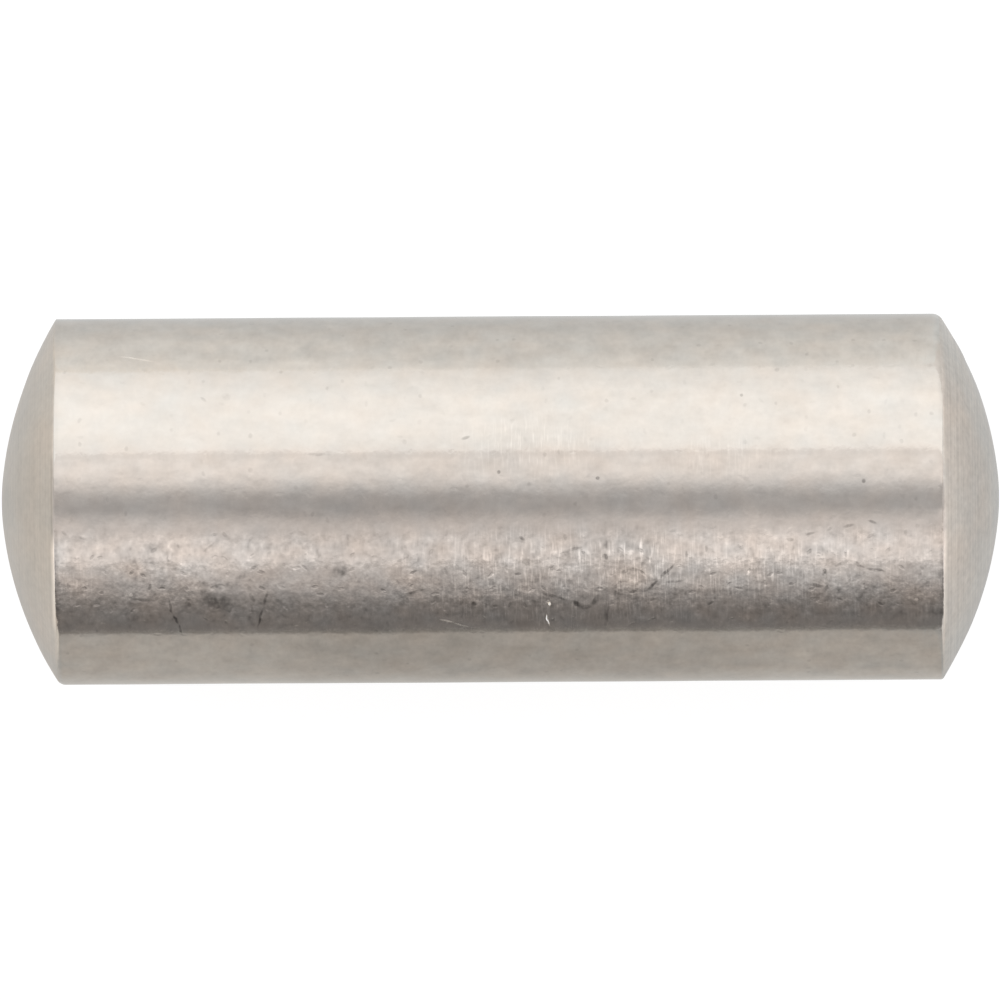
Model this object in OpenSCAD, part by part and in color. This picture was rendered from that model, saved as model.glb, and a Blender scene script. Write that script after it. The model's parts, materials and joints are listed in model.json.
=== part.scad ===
// Parallel dowel pin with crowned ends: one piece of stainless bar, turned at both ends and ground
// between them. It lies along +X with its middle at the origin, +Z up. Millimetres.

/* [Shank] */
// Diameter of the ground shank
shank_d = 5; // [3:0.1:9]
// Length of the shank from shoulder to shoulder, as if their edges were sharp
shank_length = 12.06; // [4:0.01:60]

/* [Crowned ends] */
// Radius of the arc that the flank of a crown is turned to, about equal to the shank's diameter
crown_r = 5; // [3.5:0.1:20]
// How far the centre of that arc lies past the pin's axis, which makes the crown a little pointed
crown_offset = 0.21; // [0.05:0.01:1.2]
// Radius of the nose that rounds the point of a crown
nose_r = 3.1; // [0.5:0.1:4.5]
// Radius that breaks the edge between the shank and a crown
edge_r = 0.12; // [0.02:0.01:0.6]

/* [Hidden] */
$fn = 180;
steel = [0.76, 0.74, 0.71];

// The outline is drawn with the pin's radius along X and its axis along Y. Each arc is tangent to
// the next: the shank runs into the edge, the edge into the flank and the flank into the nose.
shank_r = shank_d / 2;
shoulder_y = shank_length / 2;
flank_centre = [-crown_offset, shoulder_y - leg(crown_r, shank_r + crown_offset)];
edge_centre = [
    shank_r - edge_r,
    flank_centre.y + leg(crown_r - edge_r, shank_r - edge_r + crown_offset)
];
nose_centre = [0, flank_centre.y + leg(crown_r - nose_r, crown_offset)];

// Heights at which one part of the outline gives way to the next
edge_y = edge_centre.y;
flank_y = height_on_flank(edge_centre);
nose_y = height_on_flank(nose_centre);
apex_y = nose_centre.y + nose_r;

// Positions are set in steps of this size, and then to the last digit
coarse_step = 0.001;

// The other leg of a right triangle
function leg(hypotenuse, side) = sqrt(hypotenuse ^ 2 - side ^ 2);

// Height of the point on the flank's arc that a ray from the arc's centre through another meets
function height_on_flank(through) =
    flank_centre.y + crown_r * (through.y - flank_centre.y) / norm(through - flank_centre);

// A disc whose centre is placed in two steps, a coarse one and the rest, because a rounded centre
// would part it from the arc that it only just touches
module disc(centre, radius) {
    coarse = [for (x = centre) round(x / coarse_step) * coarse_step];
    translate(coarse) translate(centre - coarse) circle(r = radius);
}

// What its children have between two heights, on the pin's side of its axis
module layer(bottom, top) {
    intersection() {
        polygon([[0, bottom], [shank_d, bottom], [shank_d, top], [0, top]]);
        union() children();
    }
}

// Half of the pin's outline, from its middle to the apex of one crown
module half_outline() {
    square([shank_r, edge_y]);
    layer(edge_y, flank_y) {
        square([edge_centre.x, apex_y]);
        disc(edge_centre, edge_r);
    }
    layer(flank_y, nose_y) disc(flank_centre, crown_r);
    layer(nose_y, apex_y + nose_r) disc(nose_centre, nose_r);
}

module dowel_pin() {
    color(steel)
        rotate([0, 90, 0])
            rotate_extrude() {
                half_outline();
                mirror([0, 1]) half_outline();
            }
}

dowel_pin();
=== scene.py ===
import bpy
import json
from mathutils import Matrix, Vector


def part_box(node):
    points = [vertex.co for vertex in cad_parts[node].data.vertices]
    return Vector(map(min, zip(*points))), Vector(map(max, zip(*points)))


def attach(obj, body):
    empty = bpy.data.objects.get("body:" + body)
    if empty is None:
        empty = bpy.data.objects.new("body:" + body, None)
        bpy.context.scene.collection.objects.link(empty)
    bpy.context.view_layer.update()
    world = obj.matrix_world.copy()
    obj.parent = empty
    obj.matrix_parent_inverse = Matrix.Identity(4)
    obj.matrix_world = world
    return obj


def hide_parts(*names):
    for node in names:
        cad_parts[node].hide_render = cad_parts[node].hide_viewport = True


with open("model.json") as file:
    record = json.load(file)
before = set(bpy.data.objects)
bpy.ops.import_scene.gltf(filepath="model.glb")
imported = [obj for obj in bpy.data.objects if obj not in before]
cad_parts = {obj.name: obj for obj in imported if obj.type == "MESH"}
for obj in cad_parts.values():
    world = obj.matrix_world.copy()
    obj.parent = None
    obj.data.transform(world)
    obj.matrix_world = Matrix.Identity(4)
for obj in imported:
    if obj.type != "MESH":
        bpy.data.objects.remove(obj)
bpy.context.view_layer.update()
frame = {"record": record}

import json
import math

import bmesh
import bpy
from mathutils import Matrix, Vector, noise

# Lengths are in millimetres and angles in degrees, unless a name says otherwise. The pin lies along
# X with its middle at the origin. A "turn" is the angle round the pin from its top towards +Y.
MM = 0.001
UM = 0.000001

# The pin's own sizes come from the frame
shank = next(mount for mount in frame["record"]["mounts"] if mount["name"] == "shank")
SHANK_R = shank["dims"]["r_mm"]
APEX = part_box("dowel_pin")[1].x / MM

# The crown's outline, from its apex to the shank: nose, flank and broken edge
CROWN_R = 5.0
CROWN_OFFSET = 0.21
NOSE_R = 3.1
EDGE_R = 0.12

# How finely the pin is meshed, and how close two points are that become one
ROUND_STEPS = 320
NOSE_STEPS = 8
FLANK_STEPS = 20
EDGE_STEPS = 9
SHANK_STEPS = 60
MERGED = 1e-5


def leg(hypotenuse, side):
    return math.sqrt(hypotenuse ** 2 - side ** 2)


NOSE_CENTRE = Vector((APEX - NOSE_R, 0, 0))
FLANK_CENTRE = Vector((NOSE_CENTRE.x - leg(CROWN_R - NOSE_R, CROWN_OFFSET), -CROWN_OFFSET, 0))
EDGE_CENTRE = Vector((
    FLANK_CENTRE.x + leg(CROWN_R - EDGE_R, SHANK_R - EDGE_R + CROWN_OFFSET), SHANK_R - EDGE_R, 0
))
SHOULDER = FLANK_CENTRE.x + leg(CROWN_R, SHANK_R + CROWN_OFFSET)


def direction(start, end):
    """The angle from the pin's axis at which a line runs from one point to another, in radians."""
    return math.atan2(end.y - start.y, end.x - start.x)


class Value:
    """An output of a shader node. Arithmetic on it adds Math nodes."""

    def __init__(self, nodes, socket):
        self.nodes = nodes
        self.socket = socket

    def output(self, name):
        return Value(self.nodes, self.socket.node.outputs[name])

    def maths(self, operation, *values):
        return self.nodes.maths(operation, *values)

    def __add__(self, other):
        return self.maths("ADD", self, other)

    def __sub__(self, other):
        return self.maths("SUBTRACT", self, other)

    def __rsub__(self, other):
        return self.maths("SUBTRACT", other, self)

    def __mul__(self, other):
        return self.maths("MULTIPLY", self, other)

    def __abs__(self):
        return self.maths("ABSOLUTE", self)

    __radd__ = __add__
    __rmul__ = __mul__

    def step(self, start, end):
        """0 up to start, 1 from end, and a smooth rise between them. With start past end it falls."""
        if start > end:
            return 1 - self.step(end, start)
        kind = {"interpolation_type": "SMOOTHSTEP"}
        return self.nodes.add("ShaderNodeMapRange", kind, {"Value": self, 1: start, 2: end})

    def climb(self, level, rises):
        """The level, with a smooth rise or fall added from one place to another for each row."""
        for start, end, rise in rises:
            level = self.step(start, end) * rise + level
        return level


class Nodes:
    """The shader nodes of one material or of the world."""

    def __init__(self, owner):
        owner.use_nodes = True
        self.tree = owner.node_tree
        self.tree.nodes.clear()

    def add(self, kind, settings=None, inputs=None, output=0):
        """Adds a node, sets it up, fills or links its inputs and returns one of its outputs."""
        node = self.tree.nodes.new(kind)
        for name, setting in (settings or {}).items():
            setattr(node, name, setting)
        for name, value in (inputs or {}).items():
            if isinstance(value, Value):
                self.tree.links.new(value.socket, node.inputs[name])
            else:
                node.inputs[name].default_value = value
        return Value(self, node.outputs[output]) if node.outputs else node

    def maths(self, operation, *values):
        return self.add("ShaderNodeMath", {"operation": operation}, dict(enumerate(values)))

    def vector(self, operation, *values):
        """A Vector Math node, whose vectors are its first sockets."""
        return self.add("ShaderNodeVectorMath", {"operation": operation}, dict(enumerate(values)))

    def scale(self, vector, factor):
        """A vector, or a colour, times a number."""
        return self.add("ShaderNodeVectorMath", {"operation": "SCALE"}, {0: vector, "Scale": factor})

    def mix(self, share, low, high):
        """A number between two others."""
        return self.add("ShaderNodeMix", {"data_type": "FLOAT"}, {0: share, 2: low, 3: high})

    def blend(self, share, low, high):
        """A colour between two others. Each of them is red, green and blue, or a node's output."""
        low, high = (colour if isinstance(colour, Value) else (*colour, 1) for colour in (low, high))
        inputs = {0: share, 6: low, 7: high}
        return self.add("ShaderNodeMix", {"data_type": "RGBA"}, inputs, output=2)

    def grain(self, place, size, detail=2):
        """Noise from about -1 to 1. Its spots are as large as size says, along X, Y and Z."""
        spots = self.vector("DIVIDE", place, size)
        inputs = {"Vector": spots, "Scale": 1, "Detail": detail}
        return self.add("ShaderNodeTexNoise", inputs=inputs) * 2 - 1

    def spots(self, cells, randomness=1):
        """A spot in each cell of a sheet, and the cell's chances: random numbers from 0 to 1."""
        inputs = {"Vector": cells, "Scale": 1, "Randomness": randomness}
        spots = self.add("ShaderNodeTexVoronoi", {"voronoi_dimensions": "2D"}, inputs)
        chances = self.add("ShaderNodeSeparateColor", inputs={"Color": spots.output("Color")})
        return spots, chances

    def surface(self, shader, kind="ShaderNodeOutputMaterial"):
        self.add(kind, inputs={"Surface": shader})

    def place(self):
        """Object coordinates in millimetres, as a vector and as its three parts."""
        metres = self.add("ShaderNodeTexCoord", output="Object")
        vector = self.scale(metres, 1 / MM)
        parts = self.add("ShaderNodeSeparateXYZ", inputs={"Vector": vector})
        return vector, parts, parts.output("Y"), parts.output("Z")


def new_material(name):
    material = bpy.data.materials.new(name)
    return material, Nodes(material)


def put_in_order(parts, key):
    rank = {part: number for number, part in enumerate(sorted(parts, key=key))}
    parts.sort(key=rank.get)
    parts.index_update()


def add_object(name, mesh_name, bm, materials):
    # The mesh operators leave a mesh in an order that changes from run to run
    put_in_order(bm.verts, lambda vert: vert.co[:])
    for parts in (bm.edges, bm.faces):
        put_in_order(parts, lambda part: sorted(vert.index for vert in part.verts))
    mesh = bpy.data.meshes.new(mesh_name)
    bm.to_mesh(mesh)
    bm.free()
    for material in materials:
        mesh.materials.append(material)
    added = bpy.data.objects.new(name, mesh)
    bpy.context.scene.collection.objects.link(added)
    return added


def to_metres(bm):
    bmesh.ops.scale(bm, vec=(MM, MM, MM), verts=bm.verts)


def smooth(value, start, end):
    """0 up to start, 1 from end, and a smooth rise between them, as a number."""
    part = min(max((value - start) / (end - start), 0), 1)
    return part * part * (3 - 2 * part)


# ---- The pin ------------------------------------------------------------------------------------

# Steel straight from the grinder, and how far its colour drifts to the warm and the cool side
STEEL_WARM = (0.64, 0.567, 0.498)
STEEL_COOL = (0.60, 0.573, 0.534)

# The scuffed strips along the shank: the turns between which each comes in, and goes out again, and
# how scuffed it is
SCUFFED_STRIPS = [
    ((-46, -38), (-16, -5), 1), ((95, 110), (126, 142), 0.45), ((-176, -160), (-140, -125), 0.45),
]


class Scratch:
    """A scratch, pit or smudge in the shank: a spindle laid on the steel from one point to another.

    A point is a place along the pin and a turn round it. The tone is below 0 where the spindle is
    darker than the steel. A crisp mark is as strong nearly to its edge, and the rest fade from the
    middle."""

    def __init__(self, start, end, width, tone, crisp=True):
        start, end = (Vector((along, math.radians(turn) * SHANK_R, 0)) for along, turn in (start, end))
        run = end - start
        self.middle = (start + end) / 2
        self.size = Vector((run.length / 2 + width / 4, width / 2, 1))
        self.lean = math.atan2(run.y, run.x)
        self.tone = tone
        self.crisp = crisp


def pit(along, turn, size, tone):
    return Scratch((along - size / 4, turn), (along + size / 4, turn), size, tone)


def soft_mark(start, end, width, tone):
    return Scratch(start, end, width, tone, crisp=False)


def stroke(points, width, tone):
    """A bent scratch, as one spindle from each point to the next."""
    return [Scratch(start, end, width, tone) for start, end in zip(points, points[1:])]


# Wide, soft changes of tone, lighter or darker along the shank
SOFT_TONES = [
    soft_mark((-5.0, 45), (6.0, 45), 7.0, -0.055),
    soft_mark((-4.6, -11), (0.9, -12), 1.6, -0.09),
    soft_mark((1.9, -14), (6.3, -14), 1.2, 0.08),
    soft_mark((-1.2, -28), (5.2, -27), 1.0, 0.15),
    soft_mark((-3.1, -53), (-1.4, -51), 1.1, -0.05),
    soft_mark((-6.4, -58), (-2.8, -58), 1.8, 0.06),
    soft_mark((-6.6, 1), (-3.0, 1), 1.4, 0.035),
    soft_mark((-3.2, -57), (1.6, -57), 1.8, -0.06),
    soft_mark((2.8, -60), (6.4, -60), 1.8, 0.03),
    soft_mark((-6.6, 53), (-2.4, 53), 1.3, 0.035),
    soft_mark((-3.8, 1), (0.3, 1), 0.9, -0.05),
    soft_mark((-1.8, 14), (0.4, 14), 1.0, -0.05),
]

# Where the grinding lines crowd together, and by how much
CROWDED_LINES = [
    soft_mark((-1.0, -26), (2.7, -26), 1.9, 1.0),
    soft_mark((1.5, -20), (2.6, -20), 1.2, 0.8),
    soft_mark((2.2, -28), (3.6, -28), 1.1, 0.8),
    soft_mark((3.3, -25), (4.4, -25), 1.0, 0.8),
    soft_mark((-0.5, 16), (1.3, 16), 1.2, 0.9),
    soft_mark((2.2, 12), (3.8, 12), 0.8, 0.7),
    soft_mark((-6.1, -28), (-5.5, -28), 1.1, 0.5),
]

# The marks that stand out, each listed one by one. They are few, because a shader holds only so many.
SCRATCHES = [
    # The bright tick low on the shank, and the pale scratches and pits. Their pale colour is a painted
    # glint, and the tick's goes past white
    Scratch((0.68, -34), (0.68, -35.5), 0.048, tone=1.2),
    Scratch((0.63, -38.5), (0.67, -43.5), 0.026, tone=1.2),
    Scratch((-0.85, -40.5), (-0.6, -42), 0.045, tone=0.35),
    Scratch((-0.65, -42), (-0.4, -44), 0.03, tone=0.2),
    Scratch((-5.2, 52.5), (-4.65, 49.5), 0.04, tone=0.2),
    pit(-5.0, -30.5, 0.07, tone=0.25),
    pit(5.65, -34, 0.07, tone=0.3),
    # The dark hook and arcs below the middle
    *stroke([(1.02, -33.5), (1.1, -36), (1.25, -36), (1.36, -31)], 0.10, tone=-0.45),
    Scratch((0.5, -30), (0.95, -33.5), 0.06, tone=-0.4),
    soft_mark((1.43, -5), (1.46, -32), 0.10, -0.22),
    soft_mark((1.62, -14), (1.60, -40), 0.12, -0.2),
    *stroke([(1.65, -24), (1.75, -22.5), (1.9, -23)], 0.07, tone=-0.4),
    Scratch((-1.3, -31), (-1.0, -29), 0.06, tone=-0.4),
    Scratch((0.85, -17), (1.15, -15), 0.05, tone=-0.22),
    Scratch((1.47, -29), (1.44, -46), 0.08, tone=-0.22),
    pit(-0.35, -34.5, 0.1, tone=-0.6),
    # The smudge, the long scratches and the blotch on the left half
    soft_mark((-4.35, -31), (-3.5, -33), 0.3, -0.48),
    soft_mark((-4.0, -34.5), (-3.6, -35), 0.28, -0.36),
    *stroke([(-4.5, -31.5), (-4.43, -38), (-4.36, -42), (-4.32, -46)], 0.05, tone=-0.5),
    *stroke([(-3.15, -29), (-3.2, -35), (-3.3, -44)], 0.055, tone=-0.4),
    Scratch((-3.4, -30), (-3.3, -34), 0.08, tone=-0.35),
    Scratch((-5.05, -31.5), (-4.65, -33), 0.06, tone=-0.35),
    soft_mark((-2.25, -23), (-2.05, -23), 0.22, -0.5),
    Scratch((-4.0, -16), (-3.85, -12.5), 0.05, tone=-0.22),
    soft_mark((-4.95, -26.5), (-3.95, -27.5), 0.35, -0.16),
    # The long diagonal, the arcs and the specks on the right half
    *stroke([(2.0, -30), (2.15, -26.5), (2.4, -20.5)], 0.06, tone=-0.5),
    Scratch((2.2, -27.5), (2.5, -26.5), 0.055, tone=-0.4),
    *stroke([(4.55, -22), (4.75, -20), (4.95, -22.5), (5.25, -24)], 0.065, tone=-0.38),
    Scratch((4.2, -28), (4.4, -29), 0.08, tone=-0.42),
    Scratch((3.9, -13), (4.0, -13.5), 0.07, tone=-0.4),
    Scratch((4.66, -9.2), (4.82, -8.6), 0.05, tone=-0.3),
    Scratch((5.0, -7.2), (5.12, -8.2), 0.05, tone=-0.35),
    Scratch((4.15, -11.8), (4.3, -10.8), 0.05, tone=-0.3),
    # The specks on the upper half
    Scratch((-4.05, 34.5), (-3.95, 32.5), 0.045, tone=-0.16),
    soft_mark((-3.72, 34.5), (-3.66, 34.5), 0.15, -0.16),
    Scratch((-2.65, 14.5), (-2.25, 14.5), 0.05, tone=-0.15),
    Scratch((-0.5, 19), (-0.38, 20), 0.06, tone=-0.24),
    pit(0, 8.5, 0.07, tone=-0.35),
    pit(1.35, 6.5, 0.07, tone=-0.6),
    pit(3.3, 34, 0.06, tone=-0.4),
    pit(4.95, 5, 0.08, tone=-0.4),
]


# The tone of a crisp mark is full from this share of the way in from its outline to its middle
CRISP = 0.6


def add_marks(nodes, sheet, marks):
    """The tone of all the marks together."""
    tone = 0
    for mark in marks:
        laid = nodes.vector("SUBTRACT", sheet, mark.middle)
        if mark.lean:
            laid = nodes.add("ShaderNodeVectorRotate", {"rotation_type": "Z_AXIS"},
                             {"Vector": laid, "Angle": -mark.lean})
        laid = nodes.vector("DIVIDE", laid, mark.size)
        spindle = nodes.add("ShaderNodeTexGradient", {"gradient_type": "SPHERICAL"},
                            {"Vector": laid}, output="Fac")
        if mark.crisp:
            spindle = spindle.step(0, CRISP)
        tone = nodes.maths("MULTIPLY_ADD", spindle, mark.tone, tone)
    return tone


def scuffed_strips(nodes, place, degrees):
    """Where the steel is scuffed: strips along the shank, broken into patches."""
    scuffed = 0
    for (start, full), (fading, end), share in SCUFFED_STRIPS:
        scuffed = degrees.step(start, full) * degrees.step(end, fading) * share + scuffed
    patches = nodes.grain(place, (0.9, 0.5, 0.5), 1).step(-0.45, 0.35)
    return scuffed * (0.55 + 0.45 * patches)


def scattered_pits(nodes, sheet, wobble):
    """Small ragged pits, in a few of the cells."""
    cells = nodes.vector("DIVIDE", sheet, (0.21, 0.26, 1))
    pits, chances = nodes.spots(cells)
    return (pits.output("Distance") + wobble * 0.07).step(0.17, 0.06) * chances.step(0.84, 0.98)


def scattered_dashes(nodes, sheet, cell, length, width):
    """Short scratches, one to a cell and each at an angle of its own, and two chances for each."""
    cells = nodes.vector("DIVIDE", sheet, (cell, cell, 1))
    seeds, chances = nodes.spots(cells, 0.8)
    offset = nodes.vector("SUBTRACT", cells, seeds.output("Position"))
    turned = nodes.add("ShaderNodeVectorRotate", {"rotation_type": "Z_AXIS"},
                       {"Vector": offset, "Angle": chances * math.pi})
    sized = nodes.vector("MULTIPLY", turned, (2 * cell / length, 2 * cell / width, 0))
    dash = nodes.add("ShaderNodeTexGradient", {"gradient_type": "SPHERICAL"},
                     {"Vector": sized}, output="Fac")
    return dash.step(0, CRISP), chances.output("Green"), chances.output("Blue")


def finish_steel(nodes, drift, tone, height, roughness):
    """Bare steel. Its colour drifts from the cool to the warm side, and its height is in microns."""
    colour = nodes.scale(nodes.blend(drift, STEEL_COOL, STEEL_WARM), tone)
    bumped = nodes.add("ShaderNodeBump", inputs={"Distance": UM, "Height": height})
    nodes.surface(nodes.add("ShaderNodeBsdfPrincipled", inputs={
        "Base Color": colour,
        "Metallic": 1,
        "Roughness": roughness,
        "Normal": bumped,
    }))


def ground_steel():
    material, nodes = new_material("ground_steel")
    place, x, y, z = nodes.place()
    turn = nodes.maths("ARCTAN2", y, z)
    degrees = nodes.maths("DEGREES", turn)
    wobble = nodes.grain(place, (0.12, 0.12, 0.12), 1)
    swerve = nodes.grain(place, (0.17, 0.14, 0.14), 1)
    sheet = nodes.add("ShaderNodeCombineXYZ", inputs={
        "X": x + wobble * 0.025, "Y": turn * SHANK_R + swerve * 0.02,
    })
    scuffed = scuffed_strips(nodes, place, degrees)

    # Grinding lines run round the shank in short pale dashes, and are clearer towards +X. The scuffs
    # are coarser. Their dashes in the colour are painted glints and painted shade of the grooves, beside
    # the lines' own small bump.
    lines = nodes.grain(place, (0.028, 0.23, 0.23), 1)
    line_glints_and_shade = lines.step(-0.1, 0.7) * 1.8 - 0.5
    crowded = add_marks(nodes, sheet, CROWDED_LINES)
    lined = x.step(-3.5, 0.5)
    line_tone = 0.13 * crowded + scuffed * (0.04 + 0.08 * lined + 0.11 * crowded)
    scuffs = nodes.grain(place, (0.09, 0.11, 0.11), 1)
    scuffs = scuffs * (0.5 + 1.8 * abs(scuffs))
    scuff_tone = scuffed * (0.41 - 0.03 * lined)

    # Finer roughness, and mottling that is drawn out along the pin. They are calmer beside the top
    # towards +Y, and stronger low down towards -Y.
    rough = nodes.grain(place, (0.075, 0.085, 0.2), 2)
    blotch = nodes.grain(place, (0.24, 0.2, 0.5), 2)
    mottle = nodes.grain(place, (0.40, 0.16, 0.5), 2)
    cloud = nodes.grain(place, (0.9, 0.7, 0.7), 1)
    calm = 1 - (0.5 - 0.14 * lined) * degrees.step(11, 17) * degrees.step(50, 44)
    calm = calm + 0.25 * degrees.step(-44, -50) * degrees.step(-85, -75)

    # Small pits, and short scratches and dents. Most of these are dark and where the steel is scuffed.
    pits = scattered_pits(nodes, sheet, wobble)
    dash, chance, shade = scattered_dashes(nodes, sheet, cell=0.27, length=0.13, width=0.06)
    dash = dash * chance.step(0.84, 0.64) * (0.12 + 0.88 * scuffed) * rough.step(0.5, -0.1)
    dash_tone = dash * (shade - 0.72)

    # The listed marks are ragged, and where a pale one tore the steel it scatters the light
    soft_tone = add_marks(nodes, sheet, SOFT_TONES)
    # In this tone the pale marks are painted glints
    scratch_tone = add_marks(nodes, sheet, SCRATCHES) * (0.6 + 0.55 * rough.step(0.4, -0.3))
    torn = nodes.maths("MAXIMUM", scratch_tone, 0)

    # The shoulders' broken edges shine in some places, and in others painted shade dims their highlight
    at_shoulder = abs(x).step(SHOULDER - 0.08, SHOULDER - 0.03)
    dimmed_highlight = at_shoulder * nodes.grain(place, (0.3, 0.35, 0.35), 2).step(-0.7, 0.3)

    mottling = rough * (0.08 + 0.42 * scuffed * abs(rough)) + mottle * 0.12
    mottling = mottling + blotch * (0.10 + 0.12 * scuffed)
    tone = 1 + soft_tone + scratch_tone + dash_tone * 0.6 + cloud * (0.05 + 0.06 * scuffed)
    tone = tone + line_glints_and_shade * line_tone + scuffs * scuff_tone + mottling * calm
    tone = tone - pits * 0.12 - dimmed_highlight * (0.04 + 0.24 * scuffed)
    drift = nodes.grain(place, (0.45, 0.4, 0.4), 1) * (0.55 + 0.65 * scuffed) + 0.5
    height = lines * (0.15 + 0.4 * scuffed) + rough * (0.45 + 2.7 * scuffed)
    height = height + blotch * (0.9 + 2.2 * scuffed) - dash * 2.2
    finish_steel(nodes, drift, tone, height, roughness=0.11 + 0.07 * scuffed + torn)
    return material


def turned_steel():
    material, nodes = new_material("turned_steel")
    place, x, y, z = nodes.place()
    radius = nodes.maths("SQRT", y * y + z * z)
    out = nodes.add("ShaderNodeCombineXYZ", inputs={"X": radius, "Y": x})
    rings = nodes.grain(out, (0.045, 0.4, 1), 3)
    rough = nodes.grain(place, (0.09, 0.09, 0.09), 2)
    blotch = nodes.grain(place, (0.3, 0.3, 0.3), 2)
    cloud = nodes.grain(place, (1.0, 1.0, 1.0), 2)
    right = x.step(-1, 1)
    marked = rings * 0.15 + rough * 0.12 + blotch * 0.07
    tone = 1 + marked * (1 + 0.5 * right) + cloud * 0.05

    # The broken edges have a painted highlight along one stretch, and painted shade dims the one at -X
    # beside it
    edge = abs(x).step(SHOULDER + 0.055, SHOULDER + 0.025)
    painted_edge_highlight = edge * y.step(-0.3, -0.7) * y.step(-1.9, -1.5)
    dimmed_highlight = edge * y.step(-0.65, -0.4) * y.step(0.7, 0.4) * (1 - right)
    tone = tone + painted_edge_highlight * (0.34 - 0.16 * right) - dimmed_highlight * 0.2
    finish_steel(nodes, cloud + 0.6, tone, rings * 0.2 + rough * 0.5, roughness=0.28)
    return material


def turned_outline(bm):
    """Half the pin's outline: a point swung round each arc's centre, and then drawn along the shank."""
    tip = bm.verts.new((APEX, 0, 0))
    nose_end = direction(FLANK_CENTRE, NOSE_CENTRE)
    flank_end = direction(FLANK_CENTRE, EDGE_CENTRE)
    arcs = [
        (NOSE_CENTRE, nose_end, NOSE_STEPS),
        (FLANK_CENTRE, flank_end - nose_end, FLANK_STEPS),
        (EDGE_CENTRE, math.pi / 2 - flank_end, EDGE_STEPS),
    ]
    for centre, angle, steps in arcs:
        swung = bmesh.ops.spin(
            bm, geom=[tip], cent=centre, axis=(0, 0, 1), dvec=(0, 0, 0), angle=angle, steps=steps,
            use_merge=False, use_duplicate=False,
        )
        tip = next(v for v in swung["geom_last"] if isinstance(v, bmesh.types.BMVert))
    for _ in range(SHANK_STEPS):
        drawn = bmesh.ops.extrude_vert_indiv(bm, verts=[tip])
        tip = drawn["verts"][0]
        bmesh.ops.translate(bm, verts=[tip], vec=(-EDGE_CENTRE.x / SHANK_STEPS, 0, 0))
    # The middle lies exactly on the plane that the outline is mirrored in
    tip.co.x = 0


# The shoulders' edges were broken by hand, so their radius changes round the pin. Each end has its
# mean radius, how much that grows or shrinks towards +Y, and the power by which it does.
SHOULDERS = {-1: (0.078, -0.06, 3), 1: (0.122, 0.068, 1)}
# Where a knock left the edge at +X rounder, and where it stayed sharper: the turn at the middle of
# the stretch, half its width and by how much the radius grows
KNOCKS = [(-12, 16, 0.8), (29, 18, -0.3)]
# How far from the sharp corner that moves the outline in full, and where it no longer does
SHOULDER_REACH = (0.11, 0.8)
NICK_SIZE = 0.12
NICK_DEPTH = 0.22
# How far the crowns lie off square at +Y, and where that comes in, across the pin and along it
OUT_OF_SQUARE = 0.027
LEAN_ACROSS = (1.4, 2.35)
LEAN_ALONG = (5.3, 5.9)
# The size and height of the shank's waves, and how far before the shoulders they fade
WAVES = [(1.6, 0.0030), (0.55, 0.0008)]
WAVE_FADE = 0.3


def break_shoulder(vert):
    """Moves a point near a shoulder in or out along its own line from the sharp corner."""
    side = math.copysign(1, vert.co.x)
    round_pin = Vector((0, vert.co.y, vert.co.z)).normalized()
    corner = round_pin * SHANK_R + Vector((side * SHOULDER, 0, 0))
    offset = vert.co - corner
    if offset.length > SHOULDER_REACH[1]:
        return
    mean, swing, power = SHOULDERS[side]
    nicks = noise.noise(corner / NICK_SIZE) * NICK_DEPTH
    turn = math.degrees(math.atan2(round_pin.y, round_pin.z))
    if side > 0:
        nicks += sum(rise * (1 - smooth(abs(turn - middle), 0, reach)) for middle, reach, rise in KNOCKS)
    growth = (mean + swing * round_pin.y ** power) / EDGE_R * (1 + nicks) - 1
    vert.co = corner + offset * (1 + growth * (1 - smooth(offset.length, *SHOULDER_REACH)))


def lean(vert):
    """Both crowns were turned a little out of square."""
    share = smooth(vert.co.y, *LEAN_ACROSS) * smooth(abs(vert.co.x), *LEAN_ALONG)
    vert.co.x -= OUT_OF_SQUARE * share


def wave(vert):
    """Grinding leaves the shank a little wavy, by a micron or two."""
    fade = 1 - smooth(abs(vert.co.x), SHOULDER - WAVE_FADE, SHOULDER)
    height = sum(noise.noise(vert.co / size) * depth for size, depth in WAVES)
    round_pin = Vector((0, vert.co.y, vert.co.z)).normalized()
    vert.co += round_pin * height * fade


# How the steel is laid out flat for baking: the shank as a sheet, and the crowns as discs beside it,
# on a square with this side and with this gap round them
SHEET_SIDE = 17.8
DISC_GAP = 0.2


def lay_out(bm):
    layer = bm.loops.layers.uv.new("OFBake")
    for face in bm.faces:
        middle = face.calc_center_median()
        side = math.copysign(1, middle.x)
        middle_turn = math.atan2(middle.y, middle.z)
        for loop in face.loops:
            co = loop.vert.co
            if face.material_index == 0:
                turn = math.atan2(co.y, co.z)
                turn += round((middle_turn - turn) / math.tau) * math.tau
                flat = Vector((co.x + SHOULDER, (turn + math.pi) * SHANK_R))
            else:
                flat = Vector((side * co.y, co.z + (2 + side) * (SHANK_R + DISC_GAP)))
                flat.x += 2 * SHOULDER + DISC_GAP + SHANK_R
            loop[layer].uv = (flat + Vector((DISC_GAP, DISC_GAP))) / SHEET_SIDE


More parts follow.
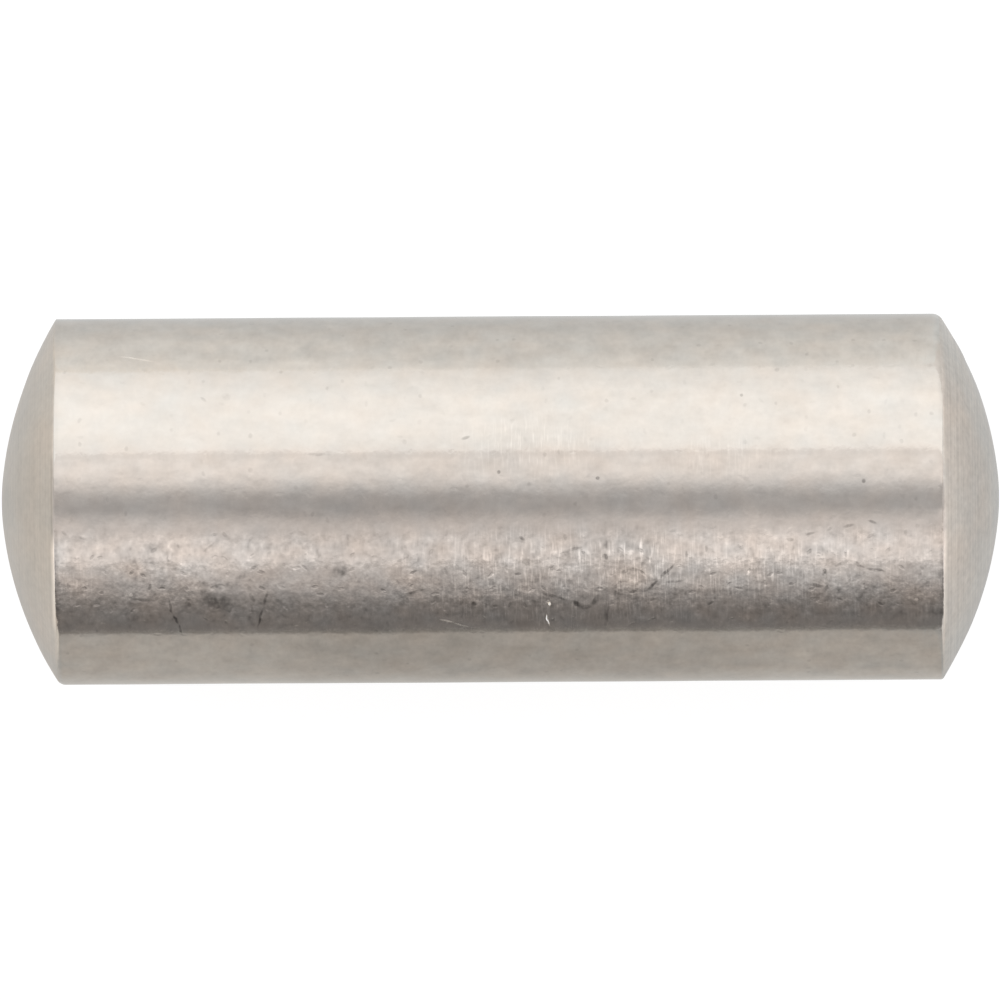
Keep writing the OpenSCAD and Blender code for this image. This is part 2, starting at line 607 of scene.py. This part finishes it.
def make_pin():
    bm = bmesh.new()
    turned_outline(bm)
    bmesh.ops.spin(
        bm, geom=bm.verts[:] + bm.edges[:], cent=(0, 0, 0), axis=(1, 0, 0), dvec=(0, 0, 0),
        angle=2 * math.pi, steps=ROUND_STEPS, use_merge=True, use_duplicate=False,
    )
    bmesh.ops.mirror(bm, geom=bm.verts[:] + bm.edges[:] + bm.faces[:], merge_dist=MERGED, axis="X")
    bmesh.ops.remove_doubles(bm, verts=bm.verts, dist=MERGED)
    for face in bm.faces:
        face.smooth = True
        face.material_index = int(abs(face.calc_center_median().x) > SHOULDER)
    for vert in bm.verts:
        break_shoulder(vert)
        lean(vert)
        wave(vert)
    bmesh.ops.recalc_face_normals(bm, faces=bm.faces)
    lay_out(bm)
    to_metres(bm)
    pin = add_object("ground_pin", "dowel_pin_steel", bm, [ground_steel(), turned_steel()])
    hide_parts("dowel_pin")
    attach(pin, "root")


# ---- The studio ---------------------------------------------------------------------------------

TENT_R = 450
TENT_HALF_LENGTH = 550
TENT_STEPS = 72

# How bright the tent's cloth is, by the angle from straight above towards +Y: its level on the near
# side, where a flag shades it, and then each rise or fall as the lamps behind the cloth come and go
TENT_SHADED = 0.234
TENT_RISES = [
    (-77, -33, 0.66), (-49, -44.5, -0.05), (-42.5, -39, 0.24), (-37, -26, -0.07), (-26, -20, -0.16),
    (-18, -5, -0.28), (-1, 19, 0.62), (26.5, 28.5, -0.10), (29, 31.5, 0.30), (31, 44, 0.07),
    (60, 100, -0.25),
]
# The same for the cloth at the tent's ends
END_LIT = 1.2
END_RISES = [(-35, -20, -0.48), (12, 25, 0.38)]
# The light through the cloth on the near side, and what it turns to over each stretch after that
NEAR_TINT = (1.03, 1, 1.01)
TENT_TINTS = [((-16, -3), (1.0, 1, 1.025)), ((4, 20), (1.02, 1, 1.0)), ((29, 35), (0.985, 1, 1.01))]


def cloth(name, level, rises):
    material, nodes = new_material(name)
    _, _, y, z = nodes.place()
    angle = nodes.maths("DEGREES", nodes.maths("ARCTAN2", y, z))
    tint = NEAR_TINT
    for (start, end), next_tint in TENT_TINTS:
        tint = nodes.blend(angle.step(start, end), tint, next_tint)
    glow = nodes.add("ShaderNodeEmission", inputs={"Color": tint, "Strength": angle.climb(level, rises)})
    nodes.surface(glow)
    material.cycles.emission_sampling = "NONE"
    return material


def make_tent():
    bm = bmesh.new()
    rail = [bm.verts.new((side * TENT_HALF_LENGTH, -TENT_R, 0)) for side in (-1, 1)]
    edge = bm.edges.new(rail)
    bmesh.ops.spin(
        bm, geom=rail + [edge], cent=(0, 0, 0), axis=(-1, 0, 0), dvec=(0, 0, 0),
        angle=math.pi, steps=TENT_STEPS, use_merge=False, use_duplicate=False,
    )
    for side in (-1, 1):
        rim = [e for e in bm.edges if all(v.co.x * side > 1 for v in e.verts)]
        end = bmesh.ops.contextual_create(bm, geom=rim)
        for face in end["faces"]:
            face.material_index = 1
    to_metres(bm)
    cloths = [cloth("tent_cloth", TENT_SHADED, TENT_RISES), cloth("tent_end", END_LIT, END_RISES)]
    tent = add_object("light_tent", "light_tent", bm, cloths)
    tent.visible_camera = False
    tent.visible_transmission = False
    tent.visible_shadow = False


FLOOR_R = 700
FLOOR_STEPS = 96
# The floor's own grey, and the light that it adds for the camera
FLOOR_GREY = 0.24
FLOOR_GLOW = 0.87
# How bright the floor is in the pin's reflections: under the pin, and how it rises away from it. The
# rise is the pin's painted shadow on the floor
FLOOR_UNDER = 0.60
FLOOR_RISES = [(0, 11, 0.34), (10, 40, 0.13), (150, 180, 0.12)]
# The same on the near side, where the pin's shade is painted on the floor: in the middle and beside it,
# and how much it rises close to the pin
NEAR_MIDDLE = 0.505
NEAR_SIDES = 0.545
NEAR_FOOT = 0.06
# How far out that side ends, how softly, and how bright the floor is beyond
NEAR_EDGE = 98
NEAR_EDGE_BLUR = 3
BEYOND = 0.24
# The colour of the floor's light on the near side and the far side, and then what it turns to beyond
# the pin's ends, between one place along X and another
NEAR_FLOOR_TINT = (1.02, 1, 0.965)
FAR_FLOOR_TINT = (1.005, 1.02, 1.02)
END_TINTS = [
    (-6.2, -7.2, (1.0, 1, 0.985)), (-8, -11, (1.02, 1, 0.96)),
    (6, 7, (0.965, 1, 1.015)), (8, 11, (1.01, 1, 0.995)),
]


def floor_sheet():
    material, nodes = new_material("floor_sheet")
    _, x, y, _ = nodes.place()
    past_end = nodes.maths("MAXIMUM", abs(x) - SHOULDER, 0)
    away = nodes.maths("SQRT", past_end * past_end + y * y)

    # Beyond each end the floor's mirrored glow has painted brighter and darker places, painted light and
    # shade which the crowns mirror
    left = 0.05 * x.step(-6, -7) * (abs(y).step(0.1, 0.5) - y.step(-1.2, -2.2))
    left = left - 0.24 * x.step(-8.5, -14) * (1 - 0.5 * abs(y).step(0, 4))
    right = 0.08 * x.step(5.7, 6.3) - 0.13 * x.step(7.5, 11)
    # The floor's mirrored level rises away from the pin: a painted shadow of the pin, seen only in its
    # reflections
    sheen_with_painted_shadow = away.climb(FLOOR_UNDER, FLOOR_RISES) * (1 + left + right)
    # On the near side a painted shade of the pin lowers the floor's mirrored level
    near_painted_shade = y.step(0.5, -1) * (abs(x) + y * 0.25).step(8.5, 6)
    middle = x.step(-3.4, -2.7) * x.step(4.0, 3.2)
    near_shade_level = NEAR_SIDES - middle * (NEAR_SIDES - NEAR_MIDDLE) + NEAR_FOOT * y.step(-6, -3)
    beyond = y.step(-NEAR_EDGE + NEAR_EDGE_BLUR, -NEAR_EDGE - NEAR_EDGE_BLUR)
    level = nodes.mix(near_painted_shade, sheen_with_painted_shadow, near_shade_level)
    level = nodes.mix(beyond, level, BEYOND)
    tint = nodes.blend(y.step(-1, 1), NEAR_FLOOR_TINT, FAR_FLOOR_TINT)
    for start, end, next_tint in END_TINTS:
        tint = nodes.blend(x.step(start, end), tint, next_tint)

    # The pin mirrors these levels, and the camera sees a plain pale floor
    mirrored = nodes.add("ShaderNodeEmission", inputs={"Color": tint, "Strength": level})
    matt = nodes.add("ShaderNodeBsdfDiffuse", inputs={"Color": (FLOOR_GREY, FLOOR_GREY, FLOOR_GREY, 1)})
    glow = nodes.add("ShaderNodeEmission", inputs={"Strength": FLOOR_GLOW})
    white = nodes.add("ShaderNodeAddShader", inputs={0: matt, 1: glow})
    rays = nodes.add("ShaderNodeLightPath", output="Is Glossy Ray")
    nodes.surface(nodes.add("ShaderNodeMixShader", inputs={"Fac": rays, 1: white, 2: mirrored}))
    material.cycles.emission_sampling = "NONE"
    return material


def make_floor():
    bm = bmesh.new()
    bmesh.ops.create_circle(bm, cap_ends=True, segments=FLOOR_STEPS, radius=FLOOR_R * MM)
    bmesh.ops.translate(bm, verts=bm.verts, vec=(0, 0, -SHANK_R * MM))
    add_object("floor", "floor", bm, [floor_sheet()])


def make_world():
    world = bpy.data.worlds.new("white_room")
    nodes = Nodes(world)
    nodes.surface(nodes.add("ShaderNodeBackground", inputs={"Color": (1, 1, 1, 1), "Strength": 1}),
                  "ShaderNodeOutputWorld")
    world.cycles.sampling_method = "NONE"
    bpy.context.scene.world = world


# ---- The camera ---------------------------------------------------------------------------------

CAMERA_HEIGHT = 276
CAMERA_SIDE = 2.9
CLIP_START = 10
# How wide a stretch the camera sees at the pin's height
VIEW_WIDTH = 13.669
ROLL = 0.3616
AIM = Vector((-0.005, -0.010, 0))
SENSOR = 36


def make_camera():
    data = bpy.data.cameras.new("camera")
    data.sensor_width = SENSOR
    data.lens = SENSOR * CAMERA_HEIGHT / VIEW_WIDTH
    data.clip_start = CLIP_START * MM
    camera = bpy.data.objects.new("camera", data)
    bpy.context.scene.collection.objects.link(camera)
    stand = Vector((CAMERA_SIDE, 0, CAMERA_HEIGHT))
    back = (stand - AIM).normalized()
    level = Vector((math.cos(math.radians(ROLL)), -math.sin(math.radians(ROLL)), 0))
    right = (level - level.dot(back) * back).normalized()
    up = back.cross(right)
    turn = Matrix((right, up, back)).transposed()
    camera.matrix_world = Matrix.Translation(stand * MM) @ turn.to_4x4()
    bpy.context.scene.camera = camera


make_pin()
make_tent()
make_floor()
make_world()
make_camera()
bpy.context.scene.view_settings.view_transform = "Standard"
